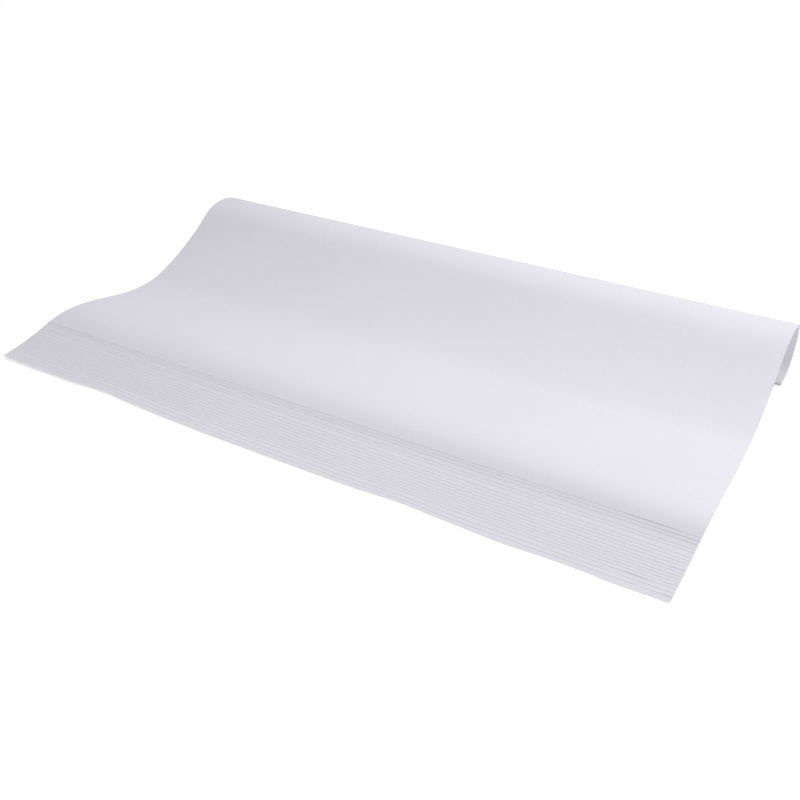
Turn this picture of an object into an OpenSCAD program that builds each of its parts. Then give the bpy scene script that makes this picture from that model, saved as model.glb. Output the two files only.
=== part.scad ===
// Pad of offset paper: a stack of large blank sheets that was rolled up before.
// It lies partly unrolled. The front edges are fanned and rest on the floor,
// a low hump follows, and the back climbs to a crest, curls over and tucks under.
// X runs along the crest, Y from the front edges to the curl, Z is up.

/* [Sheets] */

// Width of every sheet, along the crest
sheet_w = 1000; // [500:10:1400]
// Length of the bottom sheet, measured along its bends
sheet_len = 700; // [690:5:900]
// Sheets in the stack
sheet_count = 19; // [8:1:30]
// Height that one sheet adds to the stack, with the air under it
sheet_pitch = 0.21; // [0.12:0.01:0.3]

/* [Fanned front edges] */

// Step from the bottom sheet's front edge back to the next one
fan_step = 5.15; // [2:0.05:6]
// How much longer each further step is than the one before
fan_growth = 0.09; // [0:0.01:0.12]
// How far the front edges bow forward in the middle
front_bow = 4; // [0:0.5:10]

/* [Front hump] */

// Height of the hump's underside at the left end
hump_left = 22; // [8:0.5:26]
// Height of the hump's underside at the right end
hump_right = 6.5; // [4:0.5:26]
// Length of sheet from the front edge to the top of the hump
hump_at = 135; // [120:1:150]
// Lean of the hump to the back: 1 rises evenly, and more makes its front face steeper near the top
hump_lean = 1.2; // [1:0.05:1.5]
// Height of the bottom sheet's front corner above the floor at the left end
corner_lift = 4.5; // [0:0.5:6]
// Length that lies flat on the floor behind the hump
floor_run = 9; // [6:1:40]

/* [Rise to the crest] */

// Length of the first bend that lifts the stack off the floor
toe_len = 40; // [30:1:60]
// Slope that the first bend reaches, in degrees
toe_turn = 16; // [12:0.5:18]
// Length of the long climb at the left end
climb_left = 125.5; // [100:0.5:140]
// Length of the long climb at the right end
climb_right = 116; // [100:0.5:140]
// Further slope that the long climb gains, in degrees
climb_turn = 17.3; // [15:0.1:20]
// Length of the straight piece before the crest
straight_len = 23; // [5:1:40]

/* [Crest and curl] */

// Length of the sheet over the crest
crest_len = 72; // [60:1:90]
// Slope down behind the crest where the curl begins, in degrees
crest_over = 19.5; // [5:0.5:30]
// Length of the inner end that lies flat on the floor
tail_len = 30; // [8:1:40]

/* [Hidden] */

// Facets along the sheets: behind the fan to the floor, then along each bend
hump_facets = 22;
toe_facets = 8;
climb_facets = 14;
crest_facets = 14;
curl_facets = 34;
// Facets across the width
slices = 14;
// Half of the short length over which a slope is taken
slope_probe = hump_at / 270;

stack_h = sheet_count * sheet_pitch;
top_slope = toe_turn + climb_turn;

// Path position of the front edge of sheet i, counted from the bottom one
function fan_at(i) = i * fan_step + fan_growth * i * (i - 1) / 2;
fan_end = fan_at(sheet_count - 1);

// Value between a at the left end and b at the right end, at share u of the width
function across(a, b, u) = a + (b - a) * u;

// Smooth rise from 0 to 1 with level ends
function ease(t) = t * t * (3 - 2 * t);

// Chord of an arc of a given length and turn
function chord(len, turn) = abs(turn) < 0.001 ? len : len * sin(turn / 2) / (turn * PI / 360);

// Height gained by an arc that goes from slope a to slope b
function gain(len, a, b) = chord(len, b - a) * sin((a + b) / 2);

// Height of the underside where the curl begins, at share u of the width
function curl_top(u) =
    gain(toe_len, 0, toe_turn)
    + gain(across(climb_left, climb_right, u), toe_turn, top_slope)
    + gain(straight_len, top_slope, top_slope)
    + gain(crest_len, top_slope, -crest_over);

// Inner radius of the curl that brings the outer face back down to the floor
function curl_r(u) = (curl_top(u) - stack_h) / (1 + cos(crest_over));
function curl_len(u) = curl_r(u) * (180 - crest_over) * PI / 180;

// Length of sheet from the front edge to the floor behind the hump: what the other bends leave
function hump_run(u) = sheet_len - floor_run - toe_len - across(climb_left, climb_right, u)
    - straight_len - crest_len - curl_len(u) - tail_len;

// Height of the underside over the floor in front of the floor run
function hump_z(s, u, run) =
    let (high = across(hump_left, hump_right, u), low = corner_lift * pow(1 - u, 2))
    s < hump_at ? low + (high - low) * ease(pow(s / hump_at, hump_lean))
    : high * (1 - ease((s - hump_at) / (run - hump_at)));

// Bends behind the hump, each as length, turn and number of facets
function bends(u) = [
    [floor_run, 0, 1],
    [toe_len, toe_turn, toe_facets],
    [across(climb_left, climb_right, u), climb_turn, climb_facets],
    [straight_len, 0, 1],
    [crest_len, -(top_slope + crest_over), crest_facets],
    [curl_len(u), -(180 - crest_over), curl_facets],
    [tail_len, 0, 1]
];

// Path positions in front of the floor run: every fanned edge, then even steps
function hump_s(run) = concat(
    [for (i = [0:sheet_count - 1]) fan_at(i)],
    [for (k = [1:hump_facets]) fan_end + (run - fan_end) * k / hump_facets]
);

// Slope of the underside at path position s
function hump_slope(s, u, run) =
    let (a = max(s - slope_probe, 0), b = min(s + slope_probe, run))
    asin((hump_z(b, u, run) - hump_z(a, u, run)) / (b - a));

// Underside in front of the floor run, as run, height, slope and path position
function hump_path(u, run) =
    let (s = hump_s(run), z = [for (q = s) hump_z(q, u, run)], n = len(s))
    [
        for (
            i = 0, y = 0;
            i < n;
            i = i + 1,
            y = i < n ? y + sqrt(pow(s[i] - s[i - 1], 2) - pow(z[i] - z[i - 1], 2)) : y
        )
        [y, z[i], i == n - 1 ? 0 : hump_slope(s[i], u, run), s[i]]
    ];

// Underside behind the hump, one row for each facet, from the end of the hump at y0
function rear_path(u, run, y0) =
    let (steps = [for (b = bends(u)) for (k = [1:b[2]]) [b[0] / b[2], b[1] / b[2]]])
    [
        for (
            i = 0, y = y0, z = 0, a = 0, s = run;
            i <= len(steps);
            y = i < len(steps) ? y + chord(steps[i][0], steps[i][1]) * cos(a + steps[i][1] / 2) : y,
            z = i < len(steps) ? z + chord(steps[i][0], steps[i][1]) * sin(a + steps[i][1] / 2) : z,
            s = i < len(steps) ? s + steps[i][0] : s,
            a = i < len(steps) ? a + steps[i][1] : a,
            i = i + 1
        )
        if (i > 0) [y, z, a, s]
    ];

function underside(u) =
    let (run = hump_run(u), front = hump_path(u, run))
    concat(front, rear_path(u, run, front[len(front) - 1][0]));

// Forward bow of the front edges, fading out behind the hump
bow_fade = 2 * hump_at;
function bow(s, u) = s < bow_fade ? front_bow * 4 * u * (1 - u) * pow(1 - s / bow_fade, 2) : 0;

// Point at height h over the underside, square to it
function over(p, h, u) = [sheet_w * u, p[0] - h * sin(p[2]) - bow(p[3], u), p[1] + h * cos(p[2])];

// One slice through the stack: the underside to the back, then the top with its steps
function slice(u) =
    let (p = underside(u), n = len(p))
    concat(
        [for (q = p) over(q, 0, u)],
        [for (k = [n - 1:-1:sheet_count]) over(p[k], stack_h, u)],
        [for (k = [sheet_count - 1:-1:0]) each [
            over(p[k], (k + 1) * sheet_pitch, u),
            if (k > 0) over(p[k], k * sheet_pitch, u)
        ]]
    );

rings = [for (j = [0:slices]) slice(j / slices)];
ring_n = len(rings[0]);
path_n = len(underside(0));
front_y = min([for (r = rings) for (p = r) p[1]]);
back_y = max([for (r = rings) for (p = r) p[1]]);

// Place in a ring of the top point over path point k, behind any step there
function top_of(k) = k < sheet_count ? 2 * path_n + sheet_count - 2 - 2 * k : 2 * path_n - 1 - k;

// Place in a ring of the top point over path point k, in front of any step there
function top_before(k) = top_of(k) + (k > 0 && k < sheet_count ? 1 : 0);

// Triangles that close one end of the stack, between the underside and the stepped top
end_faces = [
    for (k = [0:path_n - 2])
    let (high = top_of(k), low = top_before(k), next = top_before(k + 1))
    each concat(
        [[k, k + 1, low], [low, k + 1, next]],
        low == high ? [] : [[low, next, high]]
    )
];

module sheets() {
    points = [for (r = rings) each r];
    sides = [
        for (j = [0:slices - 1])
        for (k = [0:ring_n - 1])
        let (
            a = j * ring_n + k,
            b = j * ring_n + (k + 1) % ring_n
        )
        each [[a, a + ring_n, b], [b, a + ring_n, b + ring_n]]
    ];
    left = end_faces;
    right = [for (f = end_faces) [for (k = [2:-1:0]) slices * ring_n + f[k]]];
    color([0.86, 0.86, 0.89])
    translate([-sheet_w / 2, -(front_y + back_y) / 2, 0])
    polyhedron(points, concat(sides, left, right), 10);
}

sheets();
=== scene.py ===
"""A pad of large offset paper, lying partly unrolled with its front edges fanned and its back curled over."""

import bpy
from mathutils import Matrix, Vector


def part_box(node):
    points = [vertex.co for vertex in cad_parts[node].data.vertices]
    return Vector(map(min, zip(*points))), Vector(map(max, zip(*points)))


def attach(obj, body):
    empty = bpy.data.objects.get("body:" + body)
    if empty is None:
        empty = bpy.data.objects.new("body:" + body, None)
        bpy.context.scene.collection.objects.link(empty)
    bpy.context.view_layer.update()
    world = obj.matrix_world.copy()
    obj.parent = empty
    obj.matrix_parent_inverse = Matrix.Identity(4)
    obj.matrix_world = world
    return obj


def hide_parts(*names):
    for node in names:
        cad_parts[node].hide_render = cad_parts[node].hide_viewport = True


bl_info = {
    "name": "Pad of offset paper",
    "version": (1, 0, 0),
    "blender": (4, 5, 0),
    "location": "3D View > Sidebar > Paper Pad",
    "description": "Builds a fanned stack of large paper sheets with a curled back, and a plain stage for it",
    "category": "Add Mesh",
}

import math

import bpy
from mathutils import Matrix, Vector

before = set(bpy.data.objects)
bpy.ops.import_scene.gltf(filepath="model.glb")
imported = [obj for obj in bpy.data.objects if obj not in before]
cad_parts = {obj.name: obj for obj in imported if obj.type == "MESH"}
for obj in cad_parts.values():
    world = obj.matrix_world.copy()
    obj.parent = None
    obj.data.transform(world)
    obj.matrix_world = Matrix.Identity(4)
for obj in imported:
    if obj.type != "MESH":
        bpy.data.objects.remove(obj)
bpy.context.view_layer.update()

BODY = "root"
NODE = "sheets"
CAD_LOW = Vector(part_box(NODE)[0])
MM = 0.001


# Sizes and colours that a user would change

class PaperSheetSizes(bpy.types.PropertyGroup):
    """Sizes of the sheets and of their fan."""

    width: bpy.props.FloatProperty(
        name="Sheet width", description="Width of every sheet, along the crest",
        default=1.0, min=0.2, unit="LENGTH")
    length: bpy.props.FloatProperty(
        name="Sheet length", description="Length of the bottom sheet, measured along its bends",
        default=0.7, min=0.2, unit="LENGTH")
    count: bpy.props.IntProperty(
        name="Sheets", description="Number of sheets in the stack", default=19, min=2, max=40)
    pitch: bpy.props.FloatProperty(
        name="Sheet pitch", description="Height that one sheet adds to the stack, with the air under it",
        default=0.21 * MM, precision=5, unit="LENGTH")
    thickness: bpy.props.FloatProperty(
        name="Sheet thickness", description="Thickness of one sheet",
        default=0.15 * MM, precision=5, unit="LENGTH")
    tight_pitch: bpy.props.FloatProperty(
        name="Tight pitch", description="Height that one sheet adds where the sheets lie close on each other",
        default=0.156 * MM, precision=5, unit="LENGTH")
    fan_step: bpy.props.FloatProperty(
        name="First fan step", description="Step from the bottom sheet's front edge back to the next one",
        default=5.15 * MM, precision=4, unit="LENGTH")
    fan_growth: bpy.props.FloatProperty(
        name="Fan growth", description="How much longer each further step is than the one before",
        default=0.09 * MM, precision=5, unit="LENGTH")
    fan_strays: bpy.props.FloatVectorProperty(
        name="Fan strays",
        description="How far each front edge lies behind its even place, from the bottom up",
        size=19, unit="LENGTH", precision=4,
        default=[stray * MM for stray in (
            0.0, 0.5, 1.6, 3.5, 3.3, 2.7, 2.0, 1.3, 0.5, 0.0,
            -0.4, -1.2, -1.9, -2.4, -0.8, -1.7, 0.4, 0.0, 0.0)])
    front_bow: bpy.props.FloatProperty(
        name="Front bow", description="How far the front edges bow forward in the middle",
        default=4.0 * MM, precision=4, unit="LENGTH")
    top_skew: bpy.props.FloatProperty(
        name="Top skew", description="How far forward the top sheet's front edge lies at the left end",
        default=12.0 * MM, precision=4, unit="LENGTH")


class PaperBendSizes(bpy.types.PropertyGroup):
    """Sizes of the hump, the rise, the crest and the curl."""

    hump_left: bpy.props.FloatProperty(
        name="Hump at left", description="Height of the hump's underside at the left end",
        default=22.0 * MM, precision=4, unit="LENGTH")
    hump_right: bpy.props.FloatProperty(
        name="Hump at right", description="Height of the hump's underside at the right end",
        default=6.5 * MM, precision=4, unit="LENGTH")
    hump_at: bpy.props.FloatProperty(
        name="Hump position", description="Length of sheet from the front edge to the top of the hump",
        default=135.0 * MM, precision=4, unit="LENGTH")
    hump_lean: bpy.props.FloatProperty(
        name="Hump lean", description="Lean of the hump to the back, where 1 rises evenly",
        default=1.2, min=1.0, max=1.5)
    corner_lift: bpy.props.FloatProperty(
        name="Corner lift", description="Height of the bottom sheet's left front corner above the floor",
        default=4.5 * MM, precision=4, unit="LENGTH")
    floor_run: bpy.props.FloatProperty(
        name="Floor run", description="Length that lies flat on the floor behind the hump",
        default=9.0 * MM, precision=4, unit="LENGTH")
    toe_length: bpy.props.FloatProperty(
        name="Toe length", description="Length of the first bend, which lifts the stack off the floor",
        default=40.0 * MM, precision=4, unit="LENGTH")
    toe_turn: bpy.props.FloatProperty(
        name="Toe turn", description="Slope that the first bend reaches",
        default=math.radians(16.0), subtype="ANGLE")
    climb_left: bpy.props.FloatProperty(
        name="Climb at left", description="Length of the long climb at the left end",
        default=125.5 * MM, precision=4, unit="LENGTH")
    climb_right: bpy.props.FloatProperty(
        name="Climb at right", description="Length of the long climb at the right end",
        default=116.0 * MM, precision=4, unit="LENGTH")
    climb_turn: bpy.props.FloatProperty(
        name="Climb turn", description="Further slope that the long climb gains",
        default=math.radians(17.3), subtype="ANGLE")
    straight: bpy.props.FloatProperty(
        name="Straight piece", description="Length of the straight piece before the crest",
        default=23.0 * MM, precision=4, unit="LENGTH")
    crest_length: bpy.props.FloatProperty(
        name="Crest length", description="Length of sheet over the crest",
        default=72.0 * MM, precision=4, unit="LENGTH")
    crest_over: bpy.props.FloatProperty(
        name="Crest slope", description="Slope down behind the crest where the curl begins",
        default=math.radians(19.5), subtype="ANGLE")
    tail_length: bpy.props.FloatProperty(
        name="Tail length", description="Length of the inner end that lies flat on the floor",
        default=30.0 * MM, precision=4, unit="LENGTH")


class PaperLieSizes(bpy.types.PropertyGroup):
    """How loosely the separate sheets lie on each other."""

    edge_lift: bpy.props.FloatProperty(
        name="Edge lift", description="Height by which a sheet's free front edge stands off the sheet below",
        default=0.02 * MM, precision=5, unit="LENGTH")
    edge_wander: bpy.props.FloatProperty(
        name="Edge wander", description="How far a front edge strays from a straight line",
        default=0.25 * MM, precision=5, unit="LENGTH")
    side_stray: bpy.props.FloatProperty(
        name="Side stray", description="How far the sheets' ends stray from each other",
        default=0.5 * MM, precision=5, unit="LENGTH")
    curl_shift: bpy.props.FloatProperty(
        name="Curl shift", description="How far the outer sheets of the curl stand out at the right end",
        default=1.2 * MM, precision=5, unit="LENGTH")
    curl_gap: bpy.props.FloatProperty(
        name="Curl gap",
        description="How much wider the gap before the outer sheets of the curl is at the right end",
        default=0.8 * MM, precision=5, unit="LENGTH")
    seed: bpy.props.IntProperty(
        name="Seed", description="Fixed seed of the sheets' small differences", default=7)


class PaperFinish(bpy.types.PropertyGroup):
    """Colours of the paper, and how strongly painted shade darkens it."""

    paper: bpy.props.FloatVectorProperty(
        name="Paper", description="Colour of the paper's face", subtype="COLOR", size=3,
        default=(0.794, 0.786, 0.840), min=0.0, max=1.0)
    cloudy: bpy.props.FloatVectorProperty(
        name="Cloudy patches", description="Colour of the slightly denser patches in the paper",
        subtype="COLOR", size=3, default=(0.774, 0.765, 0.821), min=0.0, max=1.0)
    cut_edge: bpy.props.FloatVectorProperty(
        name="Cut edge", description="Colour of the cut edges", subtype="COLOR", size=3,
        default=(0.80, 0.79, 0.835), min=0.0, max=1.0)
    # Painted shade: darkens the paper over the open front margins of the fan, more towards the right
    painted_margin_shade: bpy.props.FloatProperty(
        name="Margin tone", description="How much greyer the open front margins are at the right end",
        default=0.055, min=0.0, max=0.3, subtype="FACTOR")
    # Painted shade: a soft darker band along the top sheet's front edge, strongest at the right
    painted_band_shade: bpy.props.FloatProperty(
        name="Band tone",
        description="How much greyer the paper is along the top sheet's front edge, at the right",
        default=0.11, min=0.0, max=0.3, subtype="FACTOR")


class PaperStage(bpy.types.PropertyGroup):
    """The lamps, the surrounding light and the camera."""

    top_power: bpy.props.FloatProperty(
        name="Top lamp", description="Power of the soft lamp above the pad", default=3.2, min=0.0)
    back_power: bpy.props.FloatProperty(
        name="Back lamp", description="Power of the soft lamp far behind the pad, at the right",
        default=19.0, min=0.0)
    side_power: bpy.props.FloatProperty(
        name="Side lamp", description="Power of the low soft lamp at the right", default=6.0, min=0.0)
    lamp_colour: bpy.props.FloatVectorProperty(
        name="Lamp colour", description="Colour of the three lamps", subtype="COLOR", size=3,
        default=(1.0, 1.0, 0.965), min=0.0, max=1.0)
    fill: bpy.props.FloatProperty(
        name="Surrounding light", description="Strength of the even light from all sides",
        default=0.61, min=0.0)
    fill_colour: bpy.props.FloatVectorProperty(
        name="Surrounding colour", description="Colour of the even light", subtype="COLOR", size=3,
        default=(0.968, 0.955, 1.0), min=0.0, max=1.0)
    focal_length: bpy.props.FloatProperty(
        name="Focal length", description="Focal length of the camera, in millimetres", default=43.7, min=10.0)


# Shape of the stack: one path for the underside, from the front edge to the inner end

def across(at_left, at_right, share):
    return at_left + (at_right - at_left) * share


def ease(t):
    return t * t * (3 - 2 * t)


def chord(length, turn):
    return length if abs(turn) < 1e-5 else length * math.sin(turn / 2) / (turn / 2)


def fan_position(sizes, number):
    stray = sizes.fan_strays[number] if number < len(sizes.fan_strays) else 0.0
    return number * sizes.fan_step + sizes.fan_growth * number * (number - 1) / 2 + stray


# Skew of the front edges: it grows over the top sheets of the stack, with a lesser one the other way
# around one of the lower sheets
SKEW_GROWTH = 3.6
SKEW_POWER = 1.5
LOW_SKEW_SHEET = 3
LOW_SKEW_REACH = 7
LOW_SKEW = 0.22


def edge_skew(sizes, number):
    """How far a sheet's front edge comes forward at the left end: most at the top of the fan."""
    upper = max(0.0, (number + 1) / sizes.count * SKEW_GROWTH - (SKEW_GROWTH - 1))
    lower = max(0.0, 1 - abs(number - LOW_SKEW_SHEET) / LOW_SKEW_REACH) if number else 0.0
    return sizes.top_skew * (upper ** SKEW_POWER - LOW_SKEW * lower)


# How far the lowest front edge runs forward of an even line: share of the width, then millimetres.
# The sheets above follow it where it runs backward, and less so the higher they lie.
LOWEST_EDGE = (
    (0.0, -1.5), (0.04, -2.6), (0.12, -3.2), (0.20, -8.0), (0.25, -5.0), (0.32, -2.0),
    (0.40, -0.4), (0.60, -0.1), (0.68, -3.3), (0.74, 0.0), (0.81, 3.2), (0.87, 1.5),
    (0.91, 2.0), (0.945, 4.8), (0.97, 3.7), (1.0, 4.3),
)
WAVED_SHEETS = 10


def lowest_edge_wave(share):
    """Forward shift of the lowest front edge at a share of the width, smooth between the measured places."""
    for (left, low), (right, high) in zip(LOWEST_EDGE, LOWEST_EDGE[1:]):
        if share <= right:
            return across(low, high, ease((share - left) / (right - left))) * MM
    return LOWEST_EDGE[-1][1] * MM


def curl_radius(sizes, bends, share):
    """Inner radius of the curl that brings its outer face back down to the floor."""
    top = bends.toe_turn + bends.climb_turn
    climb = across(bends.climb_left, bends.climb_right, share)
    height = chord(bends.toe_length, bends.toe_turn) * math.sin(bends.toe_turn / 2)
    height += chord(climb, bends.climb_turn) * math.sin(bends.toe_turn + bends.climb_turn / 2)
    height += bends.straight * math.sin(top)
    height += chord(bends.crest_length, top + bends.crest_over) * math.sin((top - bends.crest_over) / 2)
    return (height - sizes.count * sizes.pitch) / (1 + math.cos(bends.crest_over))


# Columns of the mesh: even ones over the width, and finer ones near each end, as shares of the width
MIDDLE_COLUMNS = 44
END_COLUMNS = [0.0, 0.001, 0.003, 0.009]
# Rows of the mesh: over the hump behind the fan, and over each bend behind the hump
HUMP_ROWS = 30
BEND_ROWS = {"floor": 2, "toe": 8, "climb": 20, "straight": 3, "crest": 20, "curl": 40, "tail": 4}
# Each step of the fan has one more row, at this share of the step, and a slope is taken over twice the probe
STEP_ROW = 0.4
SLOPE_PROBE = 0.5 * MM


def rear_bends(sizes, bends, share):
    """Bends behind the hump, as length, turn and number of rows."""
    top = bends.toe_turn + bends.climb_turn
    curl_turn = math.pi - bends.crest_over
    return [
        (bends.floor_run, 0.0, BEND_ROWS["floor"]),
        (bends.toe_length, bends.toe_turn, BEND_ROWS["toe"]),
        (across(bends.climb_left, bends.climb_right, share), bends.climb_turn, BEND_ROWS["climb"]),
        (bends.straight, 0.0, BEND_ROWS["straight"]),
        (bends.crest_length, -(top + bends.crest_over), BEND_ROWS["crest"]),
        (curl_radius(sizes, bends, share) * curl_turn, -curl_turn, BEND_ROWS["curl"]),
        (bends.tail_length, 0.0, BEND_ROWS["tail"]),
    ]


def hump_height(bends, s, share, run):
    high = across(bends.hump_left, bends.hump_right, share)
    low = bends.corner_lift * (1 - share) ** 2
    if s < bends.hump_at:
        return low + (high - low) * ease((s / bends.hump_at) ** bends.hump_lean)
    return high * (1 - ease(min((s - bends.hump_at) / (run - bends.hump_at), 1.0)))


def underside(sizes, bends, share):
    """Rows of (y, z, slope, path length) along the underside at a share of the width."""
    rear = rear_bends(sizes, bends, share)
    run = sizes.length - sum(length for length, _, _ in rear)
    fan = [fan_position(sizes, number) for number in range(sizes.count)]
    fan_end = fan[-1]
    stations = [s for front, behind in zip(fan, fan[1:]) for s in (front, across(front, behind, STEP_ROW))]
    stations.append(fan_end)
    stations += [fan_end + (run - fan_end) * k / HUMP_ROWS for k in range(1, HUMP_ROWS + 1)]
    heights = [hump_height(bends, s, share, run) for s in stations]
    rows = []
    y = 0.0
    for k, s in enumerate(stations):
        if k:
            y += math.sqrt((s - stations[k - 1]) ** 2 - (heights[k] - heights[k - 1]) ** 2)
        low, high = max(s - SLOPE_PROBE, 0.0), min(s + SLOPE_PROBE, run)
        rise = hump_height(bends, high, share, run) - hump_height(bends, low, share, run)
        rows.append((y, heights[k], math.asin(rise / (high - low)), s))
    z, slope, s = 0.0, 0.0, run
    for length, turn, facets in rear:
        for _ in range(facets):
            step = chord(length / facets, turn / facets)
            y += step * math.cos(slope + turn / facets / 2)
            z += step * math.sin(slope + turn / facets / 2)
            slope += turn / facets
            s += length / facets
            rows.append((y, z, slope, s))
    return rows


def front_bow(sizes, bends, s, share):
    fade = 2 * bends.hump_at
    return sizes.front_bow * 4 * share * (1 - share) * (1 - s / fade) ** 2 if s < fade else 0.0


def column_shares():
    """Shares of the width at which the mesh has a column."""
    even = [k / MIDDLE_COLUMNS for k in range(1, MIDDLE_COLUMNS)]
    return END_COLUMNS + even + [1 - share for share in reversed(END_COLUMNS)]


def sheet_blank(sizes, bends, finishes):
    """One unthickened sheet on the stack's underside, with what the nodes need stored on its points."""
    y_shift = CAD_LOW.y + sizes.front_bow
    shares = column_shares()
    points, path, share_of, wave, lift, along, faces = [], [], [], [], [], [], []
    row_count = 0
    for share in shares:
        rows = underside(sizes, bends, share)
        row_count = len(rows)
        for y, z, slope, s in rows:
            points.append((sizes.width * (share - 0.5), y + y_shift - front_bow(sizes, bends, s, share), z))
            path.append(s)
            share_of.append(share)
            wave.append(lowest_edge_wave(share))
            lift.append((0.0, -math.sin(slope), math.cos(slope)))
            along.append((0.0, math.cos(slope), math.sin(slope)))
    for column in range(len(shares) - 1):
        for row in range(row_count - 1):
            a = column * row_count + row
            faces.append((a, a + row_count, a + row_count + 1, a + 1))
    mesh = bpy.data.meshes.new("sheet_blank")
    mesh.from_pydata(points, [], faces)
    for finish in finishes:
        mesh.materials.append(finish)
    for name, values in (("path", path), ("share", share_of), ("edge wave", wave)):
        mesh.attributes.new(name, "FLOAT", "POINT").data.foreach_set("value", values)
    for name, values in (("lift", lift), ("along", along)):
        flat = [number for vector in values for number in vector]
        mesh.attributes.new(name, "FLOAT_VECTOR", "POINT").data.foreach_set("vector", flat)
    return mesh


# Geometry Nodes: one sheet of the stack, laid on the ones below it

# Steps through the noise from one sheet to the next and from one seed to the next
SHEET_SPACING = 3.7
SEED_SPACING = 1.3
# The noise stays near 0.25 to 0.75, which these two stretch to -1 to 1
NOISE_GAIN = 4.0
NOISE_SHIFT = -2.0


class NodeBench:
    """Small helper that adds and links nodes in one tree."""

    def __init__(self, tree):
        self.tree = tree

    def node(self, kind, **settings):
        made = self.tree.nodes.new(kind)
        for name, value in settings.items():
            setattr(made, name, value)
        return made

    def plug(self, socket, value):
        if isinstance(value, bpy.types.NodeSocket):
            self.tree.links.new(value, socket)
        elif value is not None:
            socket.default_value = value

    def calc(self, operation, first, second=None, third=None):
        made = self.node("ShaderNodeMath", operation=operation)
        for socket, value in zip(made.inputs, (first, second, third)):
            self.plug(socket, value)
        return made.outputs[0]

    def scaled(self, vector, factor):
        made = self.node("ShaderNodeVectorMath", operation="SCALE")
        self.plug(made.inputs[0], vector)
        self.plug(made.inputs["Scale"], factor)
        return made.outputs[0]

    def summed(self, first, second):
        made = self.node("ShaderNodeVectorMath", operation="ADD")
        self.plug(made.inputs[0], first)
        self.plug(made.inputs[1], second)
        return made.outputs[0]

    def ramp(self, value, start, end):
        """Smooth 0 to 1 as the value goes from start to end."""
        made = self.node("ShaderNodeMapRange", interpolation_type="SMOOTHSTEP")
        self.plug(made.inputs["Value"], value)
        self.plug(made.inputs["From Min"], start)
        self.plug(made.inputs["From Max"], end)
        return made.outputs["Result"]

    def stored(self, name, kind="FLOAT"):
        made = self.node("GeometryNodeInputNamedAttribute", data_type=kind)
        made.inputs["Name"].default_value = name
        return made.outputs["Attribute"]

    def waves(self, position, across_scale, number, seed):
        """Slow unevenness along an edge, different for each sheet, from -1 to 1."""
        joined = self.node("ShaderNodeCombineXYZ")
        self.plug(joined.inputs["X"], self.calc("MULTIPLY", position, across_scale))
        self.plug(joined.inputs["Y"], self.calc("MULTIPLY", number, SHEET_SPACING))
        self.plug(joined.inputs["Z"], self.calc("MULTIPLY", seed, SEED_SPACING))
        noise = self.node("ShaderNodeTexNoise", noise_dimensions="3D")
        self.plug(noise.inputs["Vector"], joined.outputs[0])
        noise.inputs["Scale"].default_value = 1.0
        noise.inputs["Detail"].default_value = 1.0
        return self.calc("MULTIPLY_ADD", noise.outputs[0], NOISE_GAIN, NOISE_SHIFT)


# Stretches of a front edge that stand off further: sheet, then middle, reach (shares of the width) and lift
LIFTED_STRETCHES = {
    0: (0.60, 0.08, 0.25 * MM),
    1: (0.997, 0.012, 0.3 * MM),
    3: (0.954, 0.012, 0.35 * MM),
    9: (0.992, 0.012, 0.2 * MM),
    16: (0.99, 0.05, 0.12 * MM),
    17: (0.98, 0.07, 0.12 * MM),
    18: (0.945, 0.040, 0.3 * MM),
}
NO_STRETCH = (0.5, 0.01, 0.0)

# Rounding of the front corners: worn on the lowest sheets, nearly sharp on the others
CORNER = 0.8 * MM
WORN_CORNER = 3.0 * MM
WORN_SHEETS = 2

# Lengths over which a sheet's own shifts set in or fade out
SKEW_FADE = 90 * MM
CURL_ENTRY = 50 * MM
CURL_EXIT = 60 * MM
# Share of the width at which the gap in the curl starts to widen
GAP_FROM = 0.72
# How often an edge wavers over the width, up and down and then to and fro, and by what share its lift varies
LIFT_WAVES = 9.0
WANDER_WAVES = 5.0
LIFT_SWING = 0.75
WANDER_SEED = 11.0
# Points closer than this are the same point
SAME_PLACE = 0.01 * MM

SHEET_INPUTS = [
    ("Sheet number", "NodeSocketInt"),
    ("Sheet width", "NodeSocketFloat"),
    ("Front edge", "NodeSocketFloat"),
    ("Next edge", "NodeSocketFloat"),
    ("Tight pitch", "NodeSocketFloat"),
    ("Slack", "NodeSocketFloat"),
    ("Floor run", "NodeSocketFloat"),
    ("Sheet thickness", "NodeSocketFloat"),
    ("Edge lift", "NodeSocketFloat"),
    ("Edge wander", "NodeSocketFloat"),
    ("Edge skew", "NodeSocketFloat"),
    ("Forward wave", "NodeSocketFloat"),
    ("Backward wave", "NodeSocketFloat"),
    ("Corner rounding", "NodeSocketFloat"),
    ("Stretch middle", "NodeSocketFloat"),
    ("Stretch reach", "NodeSocketFloat"),
    ("Stretch lift", "NodeSocketFloat"),
    ("Side stray", "NodeSocketFloat"),
    ("Curl start", "NodeSocketFloat"),
    ("Curl end", "NodeSocketFloat"),
    ("Curl shift", "NodeSocketFloat"),
    ("Curl gap", "NodeSocketFloat"),
    ("Split sheet", "NodeSocketFloat"),
    ("Seed", "NodeSocketInt"),
    ("Paper", "NodeSocketMaterial"),
    ("Cut edge", "NodeSocketMaterial"),
]


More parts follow.
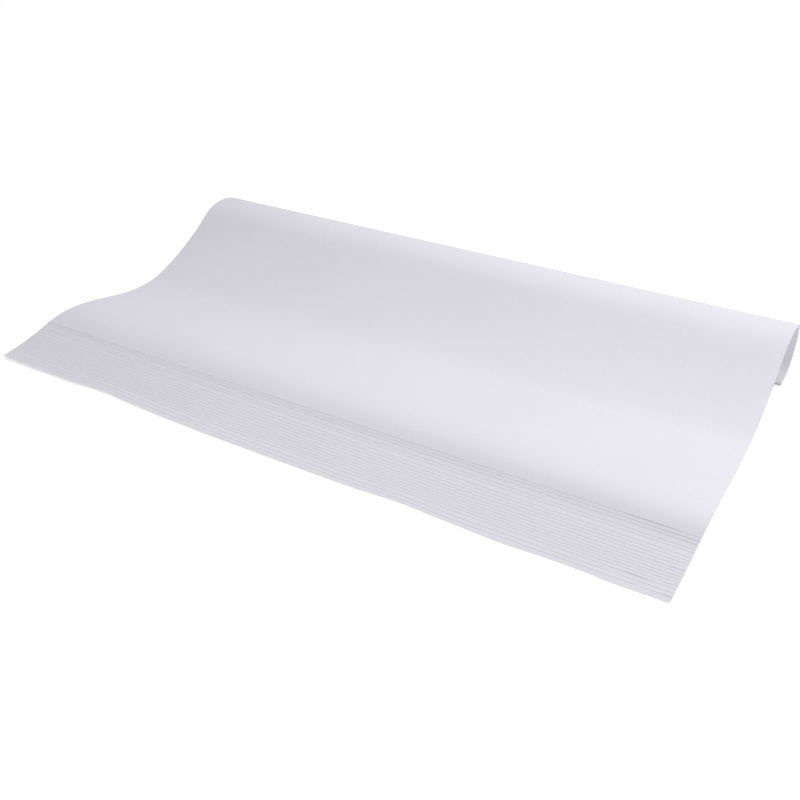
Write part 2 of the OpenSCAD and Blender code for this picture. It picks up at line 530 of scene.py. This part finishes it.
def sheet_tree():
    """Node tree that turns the blank into one sheet at its place in the stack."""
    tree = bpy.data.node_groups.new("sheet in stack", "GeometryNodeTree")
    tree.is_modifier = True
    tree.interface.new_socket(name="Blank", in_out="INPUT", socket_type="NodeSocketGeometry")
    for name, kind in SHEET_INPUTS:
        tree.interface.new_socket(name=name, in_out="INPUT", socket_type=kind)
    tree.interface.new_socket(name="Sheet", in_out="OUTPUT", socket_type="NodeSocketGeometry")
    bench = NodeBench(tree)
    given = bench.node("NodeGroupInput").outputs
    path, share = bench.stored("path"), bench.stored("share")
    number, seed = given["Sheet number"], given["Seed"]

    # The part of the blank in front of this sheet's own front edge goes
    cut = bench.node("GeometryNodeDeleteGeometry", domain="POINT")
    bench.plug(cut.inputs["Geometry"], given["Blank"])
    before = bench.calc("LESS_THAN", path, bench.calc("SUBTRACT", given["Front edge"], SAME_PLACE))
    bench.plug(cut.inputs["Selection"], before)

    # Height over the underside: its place in the stack, its lifted front edge and the gap to the upper group
    near_edge = bench.calc("SUBTRACT", 1.0, bench.ramp(path, given["Front edge"], given["Next edge"]))
    uneven = bench.calc("MULTIPLY_ADD", bench.waves(share, LIFT_WAVES, number, seed), LIFT_SWING, 1.0)
    lift_here = bench.calc("MAXIMUM", bench.calc("MULTIPLY", given["Edge lift"], uneven), 0.0)
    from_middle = bench.calc("ABSOLUTE", bench.calc("SUBTRACT", share, given["Stretch middle"]))
    in_stretch = bench.calc("SUBTRACT", 1.0, bench.ramp(from_middle, 0.0, given["Stretch reach"]))
    lift_here = bench.calc("MULTIPLY_ADD", in_stretch, given["Stretch lift"], lift_here)
    lifted = bench.calc("MULTIPLY", near_edge, lift_here)
    into_curl = bench.ramp(path, given["Curl start"], bench.calc("ADD", given["Curl start"], CURL_ENTRY))
    out_of_curl = bench.ramp(path, bench.calc("SUBTRACT", given["Curl end"], CURL_EXIT), given["Curl end"])
    in_curl = bench.calc("MULTIPLY", into_curl, bench.calc("SUBTRACT", 1.0, out_of_curl))
    inner = bench.calc("LESS_THAN", number, given["Split sheet"])
    outer = bench.calc("SUBTRACT", 1.0, inner)
    to_right = bench.ramp(share, GAP_FROM, 1.0)
    gap = bench.calc("MULTIPLY", bench.calc("MULTIPLY", given["Curl gap"], inner), to_right)
    loosening = bench.ramp(path, given["Floor run"], given["Curl start"])
    slack = bench.calc("MULTIPLY", given["Slack"], bench.calc("MULTIPLY", loosening, outer))
    height = bench.calc("MULTIPLY_ADD", number, given["Tight pitch"], slack)
    height = bench.calc("ADD", height, lifted)
    height = bench.calc("SUBTRACT", height, bench.calc("MULTIPLY", gap, in_curl))

    # Shifts within the sheet's own surface
    stray = bench.node("FunctionNodeRandomValue", data_type="FLOAT")
    bench.plug(stray.inputs[2], -1.0)
    bench.plug(stray.inputs[3], 1.0)
    bench.plug(stray.inputs["ID"], number)
    bench.plug(stray.inputs["Seed"], seed)
    sideways = bench.calc("MULTIPLY", stray.outputs[1], given["Side stray"])
    shifted = bench.calc("MULTIPLY", bench.calc("MULTIPLY", given["Curl shift"], outer), into_curl)
    sideways = bench.calc("ADD", sideways, shifted)
    wander_seed = bench.calc("ADD", seed, WANDER_SEED)
    wandering = bench.waves(share, WANDER_WAVES, number, wander_seed)
    wander = bench.calc("MULTIPLY", wandering, given["Edge wander"])
    backward = bench.calc("MULTIPLY", wander, near_edge)
    from_end = bench.calc("MULTIPLY", bench.calc("MINIMUM", share, bench.calc("SUBTRACT", 1.0, share)),
                          given["Sheet width"])
    inside = bench.calc("MAXIMUM", bench.calc("SUBTRACT", given["Corner rounding"], from_end), 0.0)
    squares = bench.calc("SUBTRACT", bench.calc("POWER", given["Corner rounding"], 2.0),
                         bench.calc("POWER", inside, 2.0))
    chord_depth = bench.calc("SQRT", squares)
    rounding = bench.calc("SUBTRACT", given["Corner rounding"], chord_depth)
    backward = bench.calc("MULTIPLY_ADD", rounding, near_edge, backward)
    fading = bench.ramp(path, given["Front edge"], bench.calc("ADD", given["Front edge"], SKEW_FADE))
    wave = bench.stored("edge wave")
    waved = bench.calc("MULTIPLY", bench.calc("MAXIMUM", wave, 0.0), given["Forward wave"])
    waved = bench.calc("MULTIPLY_ADD", bench.calc("MINIMUM", wave, 0.0), given["Backward wave"], waved)
    skewed = bench.calc("MULTIPLY_ADD", given["Edge skew"], bench.calc("SUBTRACT", 1.0, share), waved)
    skewed = bench.calc("MULTIPLY", skewed, bench.calc("SUBTRACT", 1.0, fading))
    backward = bench.calc("SUBTRACT", backward, skewed)

    side_vector = bench.node("ShaderNodeCombineXYZ")
    bench.plug(side_vector.inputs["X"], sideways)
    offset = bench.summed(bench.scaled(bench.stored("lift", "FLOAT_VECTOR"), height), side_vector.outputs[0])
    offset = bench.summed(offset, bench.scaled(bench.stored("along", "FLOAT_VECTOR"), backward))
    placed = bench.node("GeometryNodeSetPosition")
    bench.plug(placed.inputs["Geometry"], cut.outputs[0])
    bench.plug(placed.inputs["Offset"], offset)

    # Thickness: an upper face, the cut edges all round and the lower face turned over
    raised = bench.node("GeometryNodeExtrudeMesh", mode="FACES")
    bench.plug(raised.inputs["Mesh"], placed.outputs[0])
    raised.inputs["Offset Scale"].default_value = 0.0
    raised.inputs["Individual"].default_value = False
    upper = bench.node("GeometryNodeSetPosition")
    bench.plug(upper.inputs["Geometry"], raised.outputs["Mesh"])
    bench.plug(upper.inputs["Selection"], raised.outputs["Top"])
    bench.plug(upper.inputs["Offset"],
               bench.scaled(bench.stored("lift", "FLOAT_VECTOR"), given["Sheet thickness"]))
    sides = bench.node("GeometryNodeStoreNamedAttribute", data_type="BOOLEAN", domain="FACE")
    bench.plug(sides.inputs["Geometry"], upper.outputs[0])
    sides.inputs["Name"].default_value = "cut side"
    bench.plug(sides.inputs["Value"], raised.outputs["Side"])
    lower = bench.node("GeometryNodeFlipFaces")
    bench.plug(lower.inputs["Mesh"], placed.outputs[0])
    closed = bench.node("GeometryNodeJoinGeometry")
    tree.links.new(lower.outputs[0], closed.inputs[0])
    tree.links.new(sides.outputs[0], closed.inputs[0])
    welded = bench.node("GeometryNodeMergeByDistance")
    bench.plug(welded.inputs["Geometry"], closed.outputs[0])
    welded.inputs["Distance"].default_value = SAME_PLACE

    # Smooth faces with sharp cut edges, each with its own finish
    is_side = bench.stored("cut side", "BOOLEAN")
    smooth = bench.node("GeometryNodeSetShadeSmooth", domain="FACE")
    bench.plug(smooth.inputs["Geometry"], welded.outputs[0])
    bench.plug(smooth.inputs["Shade Smooth"], bench.calc("SUBTRACT", 1.0, is_side))
    creased = bench.node("GeometryNodeSetShadeSmooth", domain="EDGE")
    bench.plug(creased.inputs["Geometry"], smooth.outputs[0])
    bench.plug(creased.inputs["Selection"], is_side)
    creased.inputs["Shade Smooth"].default_value = False
    realized = bench.node("GeometryNodeRealizeInstances")
    bench.plug(realized.inputs["Geometry"], creased.outputs[0])
    face_finish = bench.node("GeometryNodeSetMaterial")
    bench.plug(face_finish.inputs["Geometry"], realized.outputs[0])
    bench.plug(face_finish.inputs["Material"], given["Paper"])
    edge_finish = bench.node("GeometryNodeSetMaterial")
    bench.plug(edge_finish.inputs["Geometry"], face_finish.outputs[0])
    bench.plug(edge_finish.inputs["Selection"], is_side)
    bench.plug(edge_finish.inputs["Material"], given["Cut edge"])
    result = bench.node("NodeGroupOutput")
    bench.plug(result.inputs["Sheet"], edge_finish.outputs[0])
    return tree


def laid_sheet(tree, blank, values, name):
    """One finished sheet: the tree run on the blank and turned into a plain mesh."""
    bench_object = bpy.data.objects.new("bench", blank)
    bpy.context.scene.collection.objects.link(bench_object)
    modifier = bench_object.modifiers.new("Sheet", "NODES")
    modifier.node_group = tree
    for item in tree.interface.items_tree:
        if item.item_type == "SOCKET" and item.in_out == "INPUT" and item.name in values:
            modifier[item.identifier] = values[item.name]
    bench_object.update_tag()
    graph = bpy.context.evaluated_depsgraph_get()
    graph.update()
    mesh = bpy.data.meshes.new_from_object(bench_object.evaluated_get(graph))
    mesh.name = name
    bpy.data.objects.remove(bench_object)
    if not mesh.polygons:
        raise RuntimeError("the sheet tree made nothing for " + name)
    sheet = bpy.data.objects.new(name, mesh)
    bpy.context.scene.collection.objects.link(sheet)
    return sheet


# Materials

def fresh_material(name):
    material = bpy.data.materials.new(name)
    material.use_nodes = True
    material.node_tree.nodes.clear()
    return material, NodeBench(material.node_tree)


def noise(bench, vector, scale, detail=2.0):
    made = bench.node("ShaderNodeTexNoise", noise_dimensions="3D")
    bench.plug(made.inputs["Vector"], vector)
    made.inputs["Scale"].default_value = scale
    made.inputs["Detail"].default_value = detail
    return made.outputs[0]


def blend_colours(bench, factor, first, second):
    made = bench.node("ShaderNodeMix", data_type="RGBA")
    bench.plug(made.inputs[0], factor)
    made.inputs[6].default_value = (*first, 1.0)
    made.inputs[7].default_value = (*second, 1.0)
    return made.outputs[2]


def stored_on_mesh(bench, name):
    made = bench.node("ShaderNodeAttribute", attribute_type="GEOMETRY", attribute_name=name)
    return made.outputs["Fac"]


def matt_surface(bench, colour, roughness, relief, strength, depth, gloss):
    """Close a material with a matt surface of this colour, roughness and relief."""
    bump = bench.node("ShaderNodeBump")
    bench.plug(bump.inputs["Height"], relief)
    bump.inputs["Strength"].default_value = strength
    bump.inputs["Distance"].default_value = depth
    shader = bench.node("ShaderNodeBsdfPrincipled")
    bench.plug(shader.inputs["Base Color"], colour)
    bench.plug(shader.inputs["Roughness"], roughness)
    bench.plug(shader.inputs["Normal"], bump.outputs[0])
    shader.inputs["Specular IOR Level"].default_value = gloss
    output = bench.node("ShaderNodeOutputMaterial")
    bench.plug(output.inputs["Surface"], shader.outputs[0])


# Painted shade, placed by path lengths before (-) or behind (+) the top sheet's front edge: the painted
# shade band rises to its full strength, starts to fade again, and ends with the painted shade of the open
# margins before it
BAND_START = -34 * MM
BAND_FULL = -2 * MM
BAND_FADES = -4 * MM
BAND_END = 66 * MM
MARGINS_END = 40 * MM
# Share of the painted shade band's strength that is left at the left end, and how fast the painted shade on
# the margins darkens to the right
BAND_AT_LEFT = 0.15
MARGIN_POWER = 1.5


def painted_shade(bench, finish, fan_end):
    """How much painted shade darkens the paper: over the open margins at the right, and along the top front
    edge.
    """
    path, share = stored_on_mesh(bench, "path"), stored_on_mesh(bench, "share")
    on_margins = bench.calc("SUBTRACT", 1.0, bench.ramp(path, fan_end, fan_end + MARGINS_END))
    # Painted shade band along the top sheet's front edge
    rising = bench.ramp(path, fan_end + BAND_START, fan_end + BAND_FULL)
    fading = bench.calc("SUBTRACT", 1.0, bench.ramp(path, fan_end + BAND_FADES, fan_end + BAND_END))
    to_right = bench.calc("MULTIPLY_ADD", share, 1 - BAND_AT_LEFT, BAND_AT_LEFT)
    band = bench.calc("MULTIPLY", bench.calc("MULTIPLY", rising, fading), to_right)
    tone = bench.calc("MULTIPLY", band, finish.painted_band_shade)
    # Painted shade over the fan's open margins, growing towards the right
    margins = bench.calc("MULTIPLY", on_margins, bench.calc("POWER", share, MARGIN_POWER))
    return bench.calc("MULTIPLY_ADD", margins, finish.painted_margin_shade, tone)


# Repeats per metre of the paper's features, from its clouds to the ends of the cut fibres
CLOUD_SCALE = 7.0
FLOC_SCALE = 190.0
FIBRE_SCALE = 2600.0
TOOTH_SCALE = 5200.0
CUT_END_SCALE = 1400.0
# Fibres lie along the sheet's width, so their pattern is stretched that way
FIBRE_STRETCH = (0.35, 1.0, 1.0)
# Shares of the two in the patches and in the relief, and the patches' range from clean to cloudy
CLOUD_SHARE, FLOC_SHARE = 0.45, 0.55
FIBRE_SHARE, TOOTH_SHARE = 0.65, 0.35
PATCHES_FROM, PATCHES_TO = 0.36, 0.66
# Least roughness and its range, on the faces and on the cut edges
FACE_ROUGHNESS, FACE_ROUGHNESS_RANGE = 0.62, 0.16
EDGE_ROUGHNESS, EDGE_ROUGHNESS_RANGE = 0.78, 0.10
# How much of its colour a cut edge keeps between the fibres
CUT_END_SHADE = 0.86


def paper_face(finish, fan_end):
    """Uncoated offset paper: cloudy formation, fine fibres and a matt tooth, darkened by painted shade over
    the open margins and along the top front edge.
    """
    material, bench = fresh_material("offset paper")
    place = bench.node("ShaderNodeTexCoord").outputs["Object"]
    stretch = bench.node("ShaderNodeMapping")
    bench.plug(stretch.inputs["Vector"], place)
    stretch.inputs["Scale"].default_value = FIBRE_STRETCH
    clouds = noise(bench, place, CLOUD_SCALE, 3.0)
    flocs = noise(bench, place, FLOC_SCALE, 4.0)
    fibres = noise(bench, stretch.outputs[0], FIBRE_SCALE, 3.0)
    tooth = noise(bench, place, TOOTH_SCALE, 2.0)
    patches = bench.calc("MULTIPLY_ADD", clouds, CLOUD_SHARE, bench.calc("MULTIPLY", flocs, FLOC_SHARE))
    cloudiness = bench.ramp(patches, PATCHES_FROM, PATCHES_TO)
    clean = blend_colours(bench, cloudiness, finish.paper, finish.cloudy)
    # Painted shade darkens the paper's colour over the open margins and along the top sheet's front edge
    unshaded = bench.calc("SUBTRACT", 1.0, painted_shade(bench, finish, fan_end))
    shaded_colour = bench.node("ShaderNodeVectorMath", operation="SCALE")
    bench.plug(shaded_colour.inputs[0], clean)
    bench.plug(shaded_colour.inputs["Scale"], unshaded)
    grain = bench.calc("MULTIPLY_ADD", fibres, FIBRE_SHARE, bench.calc("MULTIPLY", tooth, TOOTH_SHARE))
    roughness = bench.calc("MULTIPLY_ADD", flocs, FACE_ROUGHNESS_RANGE, FACE_ROUGHNESS)
    matt_surface(bench, shaded_colour.outputs[0], roughness, grain, strength=0.25, depth=0.04 * MM, gloss=0.3)
    return material


def paper_edge(finish):
    """Cut edge of a sheet: a rough line of fibre ends."""
    material, bench = fresh_material("cut paper edge")
    place = bench.node("ShaderNodeTexCoord").outputs["Object"]
    ends = noise(bench, place, CUT_END_SCALE, 3.0)
    darker = tuple(CUT_END_SHADE * channel for channel in finish.cut_edge)
    colour = blend_colours(bench, ends, darker, finish.cut_edge)
    roughness = bench.calc("MULTIPLY_ADD", ends, EDGE_ROUGHNESS_RANGE, EDGE_ROUGHNESS)
    matt_surface(bench, colour, roughness, ends, strength=0.4, depth=0.05 * MM, gloss=0.2)
    return material


# Stage: the floor reaches far past the picture and lies just under the lowest sheet
FLOOR_REACH = 6.0
FLOOR_DROP = 0.2 * MM
FLOOR_GLOW = 0.54
# The lamps are ellipses of this width, aimed at the pad: name, its power's property, other size, place
LAMP_WIDTH = 0.8
LAMPS = (
    ("top lamp", "top_power", 0.8, (0.2, 0.2, 1.1)),
    ("back lamp", "back_power", 0.8, (1.8, 1.6, 1.3)),
    ("side lamp", "side_power", 0.2, (1.35, 0.02, 0.13)),
)
# The camera looks down by the pitch and left by the yaw, from a place that is given from the point
# on the floor below the left front corner
CAMERA_PITCH = math.radians(31.29)
CAMERA_YAW = math.radians(30.39)
CAMERA_ROLL = math.radians(-0.27)
CAMERA_PLACE = Vector((1.1358, -0.7817, 0.6911))


def seen_directly(bench):
    """1 for the rays that show a background: camera, glossy and transmission rays."""
    rays = bench.node("ShaderNodeLightPath").outputs
    seen = bench.calc("MAXIMUM", rays["Is Camera Ray"], rays["Is Glossy Ray"])
    return bench.calc("MAXIMUM", seen, rays["Is Transmission Ray"])


def floor_finish():
    """Pale floor that shows as white and still takes the shadow of the paper."""
    material, bench = fresh_material("pale floor")
    diffuse = bench.node("ShaderNodeBsdfDiffuse")
    diffuse.inputs["Color"].default_value = (0.8, 0.8, 0.8, 1.0)
    glow = bench.node("ShaderNodeEmission")
    glow.inputs["Color"].default_value = (1.0, 1.0, 1.0, 1.0)
    bench.plug(glow.inputs["Strength"], bench.calc("MULTIPLY", seen_directly(bench), FLOOR_GLOW))
    added = bench.node("ShaderNodeAddShader")
    bench.plug(added.inputs[0], diffuse.outputs[0])
    bench.plug(added.inputs[1], glow.outputs[0])
    output = bench.node("ShaderNodeOutputMaterial")
    bench.plug(output.inputs["Surface"], added.outputs[0])
    return material


def aim_at(thing, place, target):
    turn = (target - place).to_track_quat("-Z", "Y")
    thing.matrix_world = Matrix.Translation(place) @ turn.to_matrix().to_4x4()


# Operators

class PAPER_OT_sheets(bpy.types.Operator):
    """Lay the sheets of the stack, from the bottom one to the top one"""

    bl_idname = "paper.sheets"
    bl_label = "Lay the sheets"

    def execute(self, context):
        scene = context.scene
        sizes, bends, lie = scene.paper_sizes, scene.paper_bends, scene.paper_lie
        tree = sheet_tree()
        fan_end = fan_position(sizes, sizes.count - 1)
        face, edge = paper_face(scene.paper_finish, fan_end), paper_edge(scene.paper_finish)
        blank = sheet_blank(sizes, bends, (face, edge))
        rear = [length for length, _, _ in rear_bends(sizes, bends, 1.0)]
        from_crest = rear[list(BEND_ROWS).index("crest"):]
        shared = {
            "Sheet width": sizes.width,
            "Tight pitch": sizes.tight_pitch,
            "Slack": sizes.count * (sizes.pitch - sizes.tight_pitch),
            "Floor run": sizes.length - sum(rear),
            "Sheet thickness": sizes.thickness,
            "Edge lift": lie.edge_lift,
            "Edge wander": lie.edge_wander,
            "Side stray": lie.side_stray,
            "Curl start": sizes.length - sum(from_crest),
            "Curl end": sizes.length - bends.tail_length,
            "Curl shift": lie.curl_shift,
            "Curl gap": lie.curl_gap,
            "Split sheet": sizes.count / 2,
            "Seed": lie.seed,
            "Paper": face,
            "Cut edge": edge,
        }
        for number in range(sizes.count):
            stretch = LIFTED_STRETCHES.get(number, NO_STRETCH)
            own = {
                "Sheet number": number,
                "Front edge": fan_position(sizes, number),
                "Next edge": fan_position(sizes, number + 1),
                "Edge skew": edge_skew(sizes, number),
                "Forward wave": 1.0 if number == 0 else 0.0,
                "Backward wave": max(0.0, 1 - number / WAVED_SHEETS),
                "Corner rounding": WORN_CORNER if number < WORN_SHEETS else CORNER,
                "Stretch middle": stretch[0],
                "Stretch reach": stretch[1],
                "Stretch lift": stretch[2],
            }
            sheet = laid_sheet(tree, blank, shared | own, "sheet_%02d" % (number + 1))
            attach(sheet, BODY)
            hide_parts(NODE)
        bpy.data.meshes.remove(blank)
        return {"FINISHED"}


class PAPER_OT_stage(bpy.types.Operator):
    """Set the floor, the lamps and the surrounding light"""

    bl_idname = "paper.stage"
    bl_label = "Set the stage"

    def execute(self, context):
        scene = context.scene
        stage = scene.paper_stage
        floor_mesh = bpy.data.meshes.new("floor")
        corners = [
            (x * FLOOR_REACH, y * FLOOR_REACH, -FLOOR_DROP)
            for x, y in ((-1, -1), (1, -1), (1, 1), (-1, 1))
        ]
        floor_mesh.from_pydata(corners, [], [(0, 1, 2, 3)])
        floor_mesh.materials.append(floor_finish())
        floor = bpy.data.objects.new("floor", floor_mesh)
        scene.collection.objects.link(floor)

        for name, power, size_y, place in LAMPS:
            lamp = bpy.data.lights.new(name, "AREA")
            lamp.shape = "ELLIPSE"
            lamp.size, lamp.size_y = LAMP_WIDTH, size_y
            lamp.energy = getattr(stage, power)
            lamp.color = stage.lamp_colour
            holder = bpy.data.objects.new(name, lamp)
            holder.visible_camera = False
            aim_at(holder, Vector(place), Vector((0.0, 0.0, 0.0)))
            scene.collection.objects.link(holder)

        world = bpy.data.worlds.new("surroundings")
        world.use_nodes = True
        world.node_tree.nodes.clear()
        bench = NodeBench(world.node_tree)
        light = bench.node("ShaderNodeBackground")
        light.inputs["Color"].default_value = (*stage.fill_colour, 1.0)
        light.inputs["Strength"].default_value = stage.fill
        white = bench.node("ShaderNodeBackground")
        white.inputs["Color"].default_value = (1.0, 1.0, 1.0, 1.0)
        white.inputs["Strength"].default_value = 1.0
        either = bench.node("ShaderNodeMixShader")
        bench.plug(either.inputs[0], seen_directly(bench))
        bench.plug(either.inputs[1], light.outputs[0])
        bench.plug(either.inputs[2], white.outputs[0])
        output = bench.node("ShaderNodeOutputWorld")
        bench.plug(output.inputs["Surface"], either.outputs[0])
        scene.world = world
        scene.view_settings.view_transform = "Standard"
        return {"FINISHED"}


class PAPER_OT_camera(bpy.types.Operator):
    """Set the camera at the viewing angle, above and in front of the right end"""

    bl_idname = "paper.camera"
    bl_label = "Set the camera"

    def execute(self, context):
        scene = context.scene
        corner = Vector((CAD_LOW.x, CAD_LOW.y + scene.paper_sizes.front_bow, 0.0))
        eye = corner + CAMERA_PLACE
        level = math.cos(CAMERA_PITCH)
        ahead = Vector((-math.sin(CAMERA_YAW) * level, math.cos(CAMERA_YAW) * level, -math.sin(CAMERA_PITCH)))
        camera_data = bpy.data.cameras.new("camera")
        camera_data.sensor_fit = "HORIZONTAL"
        camera_data.sensor_width = 36.0
        camera_data.lens = scene.paper_stage.focal_length
        camera_data.clip_end = 30.0
        camera = bpy.data.objects.new("camera", camera_data)
        aim_at(camera, eye, eye + ahead)
        camera.matrix_world = camera.matrix_world @ Matrix.Rotation(-CAMERA_ROLL, 4, "Z")
        scene.collection.objects.link(camera)
        scene.camera = camera
        return {"FINISHED"}


class PAPER_PT_panel(bpy.types.Panel):
    """Sidebar panel with the pad's steps and its sizes"""

    bl_idname = "PAPER_PT_panel"
    bl_label = "Paper pad"
    bl_space_type = "VIEW_3D"
    bl_region_type = "UI"
    bl_category = "Paper Pad"

    def draw(self, context):
        layout = self.layout
        for operator in OPERATORS:
            layout.operator(operator.bl_idname)
        for group in ("paper_sizes", "paper_bends", "paper_lie", "paper_finish", "paper_stage"):
            box = layout.box()
            values = getattr(context.scene, group)
            for name in values.__annotations__:
                box.prop(values, name)


GROUPS = {
    "paper_sizes": PaperSheetSizes,
    "paper_bends": PaperBendSizes,
    "paper_lie": PaperLieSizes,
    "paper_finish": PaperFinish,
    "paper_stage": PaperStage,
}
OPERATORS = [PAPER_OT_camera, PAPER_OT_sheets, PAPER_OT_stage]


def register():
    for group in GROUPS.values():
        bpy.utils.register_class(group)
    for name, group in GROUPS.items():
        setattr(bpy.types.Scene, name, bpy.props.PointerProperty(type=group))
    for operator in OPERATORS:
        bpy.utils.register_class(operator)
    bpy.utils.register_class(PAPER_PT_panel)


def unregister():
    bpy.utils.unregister_class(PAPER_PT_panel)
    for operator in reversed(OPERATORS):
        bpy.utils.unregister_class(operator)
    for name, group in reversed(GROUPS.items()):
        delattr(bpy.types.Scene, name)
        bpy.utils.unregister_class(group)


def main():
    register()
    bpy.ops.paper.camera()
    bpy.ops.paper.sheets()
    bpy.ops.paper.stage()


if __name__ == "__main__":
    main()
